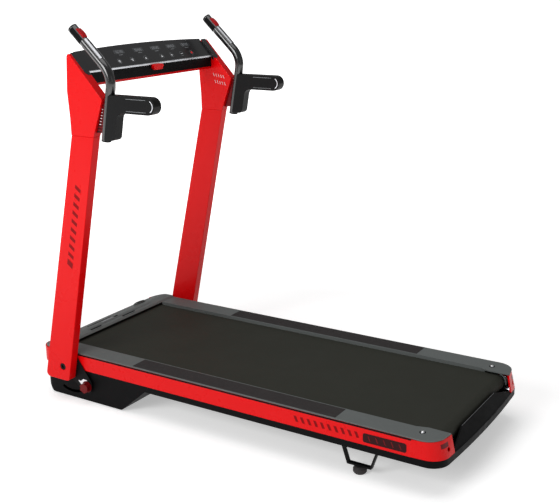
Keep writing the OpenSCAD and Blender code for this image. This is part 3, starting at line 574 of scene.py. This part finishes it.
strokes, slots, slot_ends, head_caps = Build(), Build(), Build(), Build()
for side in SIDES:
    for y, z in STROKE_ROWS:
        for k in range(5):
            centre = (side * (HEAD_IN - 0.05), y - k * 9.5, z - k * 1.5)
            strokes.bar(centre, (0, 0.4, 1.0), (0, 1.0, -0.4), (-side * 0.5, 0, 0), 5.5, 0.75)
    for k in range(20):
        z = LADDER_LOW + k * LADDER_STEP
        rear, front = bracket_span(z)
        middle = (side * BRACKET_OUT, (rear + front) / 2, z)
        if k % 2:
            slots.bar(middle, AHEAD, UP, (side * 0.35, 0, 0), (front - rear) * 0.46, 1.3)
        elif 5 <= k <= 16:
            slot_ends.bar(middle, AHEAD, UP, (side * 0.35, 0, 0), (front - rear) * 0.2, 1.0)
    start = HEAD_FRONT + RIGHT * side * 296.9 + EDGE_DOWN * 2 - EDGE_OUT * 3.2
    head_caps.prism([start + EDGE_DOWN * s + RIGHT * side * a for s, a in CAP_PLAN], EDGE_OUT * 4.0)
    head_caps.prism([(side * 296.62, y, z) for y, z in CAP_TRIM], (side * 0.6, 0, 0))
strokes.make("head_strokes", PRINT, "uprights", "silver", edge=0.15)
slots.make("bracket_slots", BLACK, "uprights", "black_moulding")
slot_ends.make("bracket_ticks", PRINT, "uprights", "silver")
head_caps.make("head_caps", PANEL, "uprights", "black_gloss", edge=0.25)

# ---- Handles and arm pads ----

HANDLE_X = 312.5
HANDLE_CORNER = Vector((HANDLE_X, 305, 1024))
HANDLE_TIP = Vector((HANDLE_X, 435, 1146))
TIP_DIR = (HANDLE_TIP - HANDLE_CORNER).normalized()
TIP_OUT = Vector((0, -TIP_DIR.z, TIP_DIR.y))
PLATES_BELOW_TIP = 89
PLATE_OUT = 15.05
# Each sleeve is open along the quick key, from -54 to 54 degrees
SLEEVE_IN, SLEEVE_OUT, SLEEVE_RUN = 13.8, 14.35, 48
SLEEVE_TURNS = [math.radians(54 + 252 * i / 30) for i in range(31)]
SLEEVE_PLAN = [(SLEEVE_OUT, a) for a in SLEEVE_TURNS] + [(SLEEVE_IN, a) for a in reversed(SLEEVE_TURNS)]
ARM_END = Vector((0, 172.5, 947.5))
PAD_HALF = 14.95
ARC_IN, ARC_OUT = 15.6, 17.6
PIPING_Y, PIPING_HALF, PIPING_OFF = 214, 34, 16.6

plate_gaps, arc_highlights, piping, sleeves = Build(), Build(), Build(), Build()
for side in SIDES:
    tip = Vector((side * HANDLE_X, HANDLE_TIP.y, HANDLE_TIP.z))
    middle = tip - TIP_DIR * PLATES_BELOW_TIP + TIP_OUT * PLATE_OUT
    plate_gaps.bar(middle, TIP_DIR, RIGHT, TIP_OUT * 0.3, 37.2, 1.7)
    top = tip - TIP_DIR * 2
    section = [top + TIP_OUT * (r * math.cos(a)) + RIGHT * (r * math.sin(a)) for r, a in SLEEVE_PLAN]
    sleeves.prism(section, -TIP_DIR * SLEEVE_RUN)
    for face in SIDES:
        x = side * HANDLE_X + face * PAD_HALF
        # Chrome arcs near each arm pad's end stand in for the highlight along a recessed edge: a painted
        # highlight
        for tile in ring_tiles(ARC_IN, ARC_OUT, 14, start=118, sweep=124):
            arc_highlights.prism([(x, ARM_END.y + a, ARM_END.z + b) for a, b in tile], (face * 0.5, 0, 0))
        for z in (ARM_END.z - PIPING_OFF, ARM_END.z + PIPING_OFF):
            piping.bar((x, PIPING_Y, z), AHEAD, UP, (face * 0.35, 0, 0), PIPING_HALF, 0.5)
plate_gaps.make("plate_gaps", BLACK, "uprights", "black_moulding")
sleeves.make("tip_sleeves", BLACK, "uprights", "black_moulding", edge=0.15, smooth=50.0)
arc_highlights.make("pad_arc_highlights", CHROME, "uprights", "chrome")
piping.make("pad_piping", PRINT_DIM, "uprights", "silver")

# ---- Plain marks: bars and an inlay on each side rail, bars on each post ----

RAIL_OUT = 293.0
POST_OUT = 326.0
SLANTED = (0, 0.45, 1)
INLAY_Y, INLAY_Z = -526, 127
RAIL_MARK_Y, RAIL_MARK_Z, RAIL_MARK_STEP = -446, 130, 20.5
INLAY_BAR_STEP = 22

inlay, inlay_bars, rail_marks = Build(), Build(), Build()
for side in SIDES:
    x = side * (RAIL_OUT - 0.1)
    outline = rounded_box(INLAY_Y, INLAY_Z, 62, 13, 6)
    inlay.prism([(x, y, z) for y, z in outline], (side * 0.5, 0, 0))
    for k in range(5):
        centre = (side * (RAIL_OUT + 0.35), INLAY_Y + (k - 2) * INLAY_BAR_STEP, INLAY_Z)
        inlay_bars.bar(centre, SLANTED, AHEAD, (side * 0.3, 0, 0), 7.5, 1.6)
    for k in range(10):
        centre = (x, RAIL_MARK_Y + k * RAIL_MARK_STEP, RAIL_MARK_Z)
        rail_marks.bar(centre, SLANTED, AHEAD, (side * 0.4, 0, 0), 9.0, 4.2)
inlay.make("rail_inlay", DARK_PRINT, "base", "black_moulding", edge=0.2)
inlay_bars.make("rail_inlay_bars", RED_DEEP, "base", "red_plastic", edge=0.15)
rail_marks.make("rail_marks", RED_MARK, "base", "red_plastic", edge=0.15)

POST_LEAN = Vector((0, -0.2255, 1.0)).normalized()
POST_SLANT = Vector((0, 1.0, 0.2255)).normalized() + POST_LEAN * 0.45
POST_MARK_STEP = 26.5

post_marks = Build()
for side in SIDES:
    foot = Vector((side * (POST_OUT - 0.1), 500, 462))
    for k in range(10):
        centre = foot + POST_LEAN * (k * POST_MARK_STEP)
        half_height = 5.5 if k else 9.0
        post_marks.bar(centre, POST_SLANT, POST_LEAN, (side * 0.4, 0, 0), 12.0, half_height)
post_marks.make("post_marks", RED_MARK, "uprights", "red_metal", edge=0.15)

# ---- Front cover: a band across it, plates, a row of dark lids and an oval boss ----

DROP = (0, 0, -1)
# Left end, count of tiles, rear edge and front edge of each dark lid
LIDS = ((-135, 4, 614, 627), (22, 5, 614, 626), (-110, 9, 655, 662))
LID_STEP, LID_WIDE = 13, 12.95
BOSS_X, BOSS_Y = 174, 671
BOSS_HALF_X, BOSS_HALF_Y = 30, 10.5
cover = surface("front_cover")
band, lids, plates, boss, eye = Build(), Build(), Build(), Build(), Build()


def above(corners):
    """Points above the deck, from x and y, to be laid on what is below them."""
    return [(x, y, 200) for x, y in corners]


for x in range(-135, 185, 20):
    draped(band, cover, above(box_points(x + 10, 631.5, 10, 2.5)), DROP, SUNK, 0.4)
for left, count, rear, front in LIDS:
    lean = (front - rear) * 0.5
    for k in range(count):
        x = left + k * LID_STEP
        corners = [(x, rear), (x + LID_WIDE, rear), (x + LID_WIDE + lean, front), (x + lean, front)]
        draped(lids, cover, above(corners), DROP, SUNK, 0.5)
for x in (-50, -33, -16):
    draped(plates, cover, above(box_points(x + 8.5, 645, 8.5, 5)), DROP, SUNK, 0.6)
draped(lids, cover, above([(7, 640), (24, 640), (28, 649), (11, 649)]), DROP, SUNK, 0.5)
for inner, outer, thick, build in ((0.0, 0.66, 3.0, eye), (0.66, 0.84, 5.6, boss), (0.84, 1.0, 3.6, boss)):
    for tile in ring_tiles(inner, outer, 28):
        corners = [(BOSS_X + BOSS_HALF_X * a, BOSS_Y + BOSS_HALF_Y * b) for a, b in tile]
        draped(build, cover, above(corners), DROP, SUNK, thick)
band.make("cover_band", ACCENT, "base", "black_gloss")
plates.make("cover_plate", PRINT_DIM, "base", "grey_moulding")
lids.make("cover_marks", BLACK, "base", "black_moulding")
boss.make("cover_boss", GREY, "base", "grey_moulding")
eye.make("cover_boss_eye", BLACK, "base", "black_moulding")

# ---- Sides: a black strip painting the shade in the gap under each foot rail, and the clamp flange behind each knob ----

FLANGE_IN = 297.05
FLANGE = ((530, 72), (518, 71), (508, 79), (493, 78), (493, 75.4), (503, 73), (509.8, 67.2), (513, 58),
          (517, 54), (520, 62))

gap_shade, flanges = Build(), Build()
for side in SIDES:
    # A black strip along the top of each red side rail is painted shade of the gap under the foot rail
    gap_shade.bar((side * 292.9, 21.5, 154.0), AHEAD, UP, (side * 0.45, 0, 0), 621.5, 2.0)
    flanges.prism([(side * FLANGE_IN, y, z) for y, z in FLANGE], (side * 1.2, 0, 0))
gap_shade.make("rail_gap_shade", BLACK, "base", "black_moulding")
flanges.make("clamp_flanges", CHROME, "uprights", "chrome", edge=0.4)

# ---- Mains switch: a bar and a ring on its rocker ----

ROCKER_X = -128
BAR_Z, RING_Z = 73.5, 64.6
rocker = surface("mains_switch")
rocker_marks = Build()


def before_switch(corners):
    """Points ahead of the mains switch, from x and z, to be laid on its rocker."""
    return [(x, 760, z) for x, z in corners]


draped(rocker_marks, rocker, before_switch(box_points(ROCKER_X, BAR_Z, 0.6, 2)), REARWARDS, SUNK / 2, 0.25)
for tile in ring_tiles(1.4, 2.0, 12):
    corners = [(ROCKER_X + a, RING_Z + b) for a, b in tile]
    draped(rocker_marks, rocker, before_switch(corners), REARWARDS, SUNK / 2, 0.25)
rocker_marks.make("rocker_marks", PRINT, "mains_switch", "silver")

# ---- Rear end: lit edge of the apron, shoes and curls beside the roller, painted shade in the screw recesses ----

SHOE = ((-648, 149), (-660, 147), (-669, 141), (-674, 132), (-676.5, 120), (-677, 110),
        (-662, 110), (-662.5, 120), (-661, 130), (-656, 139), (-648, 145))
CURL_Y, CURL_Z = -636, 126
RECESS_X, RECESS_Z, RECESS_STEP = 238, 140, 7

apron_edge, shoes, curls, recess_shade = Build(), Build(), Build(), Build()
apron = surface("rear_bumper")
for k in range(12):
    draped(apron_edge, apron, above(box_points(-110 + k * 20, -667, 10, 0.6)), DROP, SUNK, 0.3)
rear_cap = surface("rear_caps")
for side in SIDES:
    shoes.prism([(side * 226.4, y, z) for y, z in SHOE], (side * 0.5, 0, 0))
    shoes.bar((side * 222.5, -669, 110), RIGHT, AHEAD, (0, 0, 1.2), 4.5, 8)
    turns = [math.radians(88 + 10 * k) for k in range(11)]
    ring = [(31, a) for a in turns] + [(27.5, a) for a in reversed(turns)]
    curl = [(side * 224.2, CURL_Y + r * math.cos(a), CURL_Z + r * math.sin(a)) for r, a in ring]
    curls.prism(curl, (side * 0.6, 0, 0))
    # Deep red slabs on each rear cap's rear face are painted shade of its screw recess
    for k in range(4):
        left = RECESS_X + RECESS_STEP * k
        slab = ((left, -6), (left + RECESS_STEP, -6), (left + RECESS_STEP, 6), (left, 6))
        behind = [(side * x, -720, RECESS_Z + z) for x, z in slab]
        draped(recess_shade, rear_cap, behind, AHEAD, SUNK, 0.35)
apron_edge.make("apron_edge", SATIN, "base", "silver")
shoes.make("roller_shoes", CHROME, "base", "chrome")
curls.make("rail_curls", GREY, "base", "grey_moulding")
recess_shade.make("cap_recess_shade", RED_DEEP, "base", "black_moulding")

# ---- Deck screws: a dark ring, a domed head and its socket ----

SCREW_X, SCREW_Y, RAIL_TOP = 250.0, -612.0, 160.0
DOME = ((4.6, 0), (4.2, 0.8), (3.1, 1.5), (1.6, 1.85))

screw_rings, screw_slots, domes = Build(), Build(), Build()
for side in SIDES:
    seat = Vector((side * SCREW_X, SCREW_Y, RAIL_TOP))
    for tile in ring_tiles(5.6, 8.5, 20):
        screw_rings.prism([seat + Vector((a, b, -0.05)) for a, b in tile], (0, 0, 0.5))
    domes.lathe(seat + Vector((0, 0, 2.2)), UP, DOME, 24)
    screw_slots.lathe(seat + Vector((0, 0, 3.9)), UP, ((1.5, 0), (1.5, 0.3)), 6)
screw_rings.make("screw_rings", BLACK, "base", "black_moulding")
screw_slots.make("screw_sockets", BLACK, "base", "black_moulding")
domes.make("screw_domes", NICKEL, "base", "chrome", smooth=60.0)

# ---- Underside: screw heads and air slots of the belly ----

PAN_UNDER = 4.1
PAN_HEAD = ((5.2, 0), (5.2, 1.2), (3.8, 2.2))

pan_screws, pan_slots = Build(), Build()
for x in (-255, 255):
    for y in (400, 625):
        pan_screws.lathe((x, y, PAN_UNDER + 0.1), DROP, PAN_HEAD, 24)
for k in range(9):
    pan_slots.bar((-40 + k * 10, 430, PAN_UNDER), RIGHT, AHEAD, (0, 0, -0.4), 2.2, 26)
pan_screws.make("pan_screws", ZINC, "base", "zinc")
pan_slots.make("pan_slots", GRIP, "base", "black_moulding", edge=0.15)

# ---- Grip pads: fine ribs along the run ----

RIB_COUNT, RIB_STEP = 23, 2.45
RIB_IN, RIB_Y, RIB_HALF = 231.6, -33, 343.5

ribs = Build()
for side in SIDES:
    for k in range(RIB_COUNT):
        x = side * (RIB_IN + k * RIB_STEP)
        ribs.bar((x, RIB_Y, RAIL_TOP + 0.7), RIGHT, AHEAD, (0, 0, 0.55), 0.7, RIB_HALF)
ribs.make("grip_ribs", GRIP, "base", "grip", edge=0.2, segments=1)

# ---- Stage, light and camera: places in metres ----

WHITE = (1.0, 1.0, 1.0, 1.0)
CAMERA_PLACE = Vector((-2.3548, -1.5133, 1.2917))
CAMERA_YAW, CAMERA_PITCH, CAMERA_ROLL = 57.852, 16.03, -0.7165


def look_matrix(place, yaw, pitch, roll):
    """Camera to world matrix, with yaw from +Y towards +X, pitch down and roll, in degrees."""
    a, b, c = (math.radians(v) for v in (yaw, pitch, roll))
    ahead = Vector((math.sin(a) * math.cos(b), math.cos(a) * math.cos(b), -math.sin(b)))
    level = Vector((math.cos(a), -math.sin(a), 0))
    upward = level.cross(ahead)
    right = level * math.cos(c) + upward * math.sin(c)
    up = upward * math.cos(c) - level * math.sin(c)
    m = Matrix((right, up, -ahead)).transposed().to_4x4()
    m.translation = place
    return m


def add_floor():
    """A matt white floor that glows more the further it is from the object, so that its edge isn't seen."""
    mesh = bpy.data.meshes.new("floor")
    bm = bmesh.new()
    bmesh.ops.create_grid(bm, x_segments=2, y_segments=2, size=14)
    bm.to_mesh(mesh)
    bm.free()
    floor = bpy.data.objects.new("floor", mesh)
    SCENE.collection.objects.link(floor)
    look = Shader("floor", (0.86, 0.86, 0.86, 1.0), 0.9, vary=0.0, specular=0.0)
    reach = look.node("ShaderNodeVectorMath")
    reach.operation = "LENGTH"
    look.link(look.coords.outputs["Object"], reach.inputs[0])
    glow = look.node("ShaderNodeMapRange")
    glow.inputs["From Min"].default_value = 1.1
    glow.inputs["From Max"].default_value = 3.0
    glow.inputs["To Min"].default_value = 0.42
    glow.inputs["To Max"].default_value = 1.3
    look.link(reach.outputs["Value"], glow.inputs["Value"])
    look.link(glow.outputs["Result"], look.bsdf.inputs["Emission Strength"])
    look.bsdf.inputs["Emission Color"].default_value = WHITE
    mesh.materials.append(look.done())


def add_light(name, place, target, size, power):
    """An area light of that size and power (watts) at place, facing target."""
    data = bpy.data.lights.new(name, "AREA")
    data.shape = "RECTANGLE"
    data.size, data.size_y = size
    data.energy = power
    obj = bpy.data.objects.new(name, data)
    obj.location = place
    obj.rotation_euler = (Vector(target) - Vector(place)).to_track_quat("-Z", "Y").to_euler()
    SCENE.collection.objects.link(obj)


def add_sky(ambient, shown):
    """A white world of strength ambient, which the camera sees at strength shown."""
    world = bpy.data.worlds.new("studio")
    world.use_nodes = True
    sky = world.node_tree
    light = sky.nodes["Background"]
    backdrop = sky.nodes.new("ShaderNodeBackground")
    for background, strength in ((light, ambient), (backdrop, shown)):
        background.inputs["Color"].default_value = WHITE
        background.inputs["Strength"].default_value = strength
    seen = sky.nodes.new("ShaderNodeLightPath")
    choose = sky.nodes.new("ShaderNodeMixShader")
    sky.links.new(seen.outputs["Is Camera Ray"], choose.inputs[0])
    sky.links.new(light.outputs[0], choose.inputs[1])
    sky.links.new(backdrop.outputs[0], choose.inputs[2])
    sky.links.new(choose.outputs[0], sky.nodes["World Output"].inputs["Surface"])
    SCENE.world = world


add_floor()
add_sky(0.28, 1.2)
add_light("overhead", (-0.4, 0.3, 4.2), (0, 0, 0.2), (3.6, 3.6), 78)
add_light("key", (-4.2, 0.8, 2.4), (0, 0.1, 0.5), (2.2, 1.8), 112)
add_light("fill", (-0.8, -4.4, 2.0), (0, 0, 0.4), (2.6, 1.8), 5)

camera_data = bpy.data.cameras.new("camera")
camera_data.sensor_width = 36
camera_data.lens = 62.86
camera_data.clip_end = 60
camera = bpy.data.objects.new("camera", camera_data)
SCENE.collection.objects.link(camera)
camera.matrix_world = look_matrix(CAMERA_PLACE, CAMERA_YAW, CAMERA_PITCH, CAMERA_ROLL)
SCENE.camera = camera
SCENE.view_settings.view_transform = "Standard"
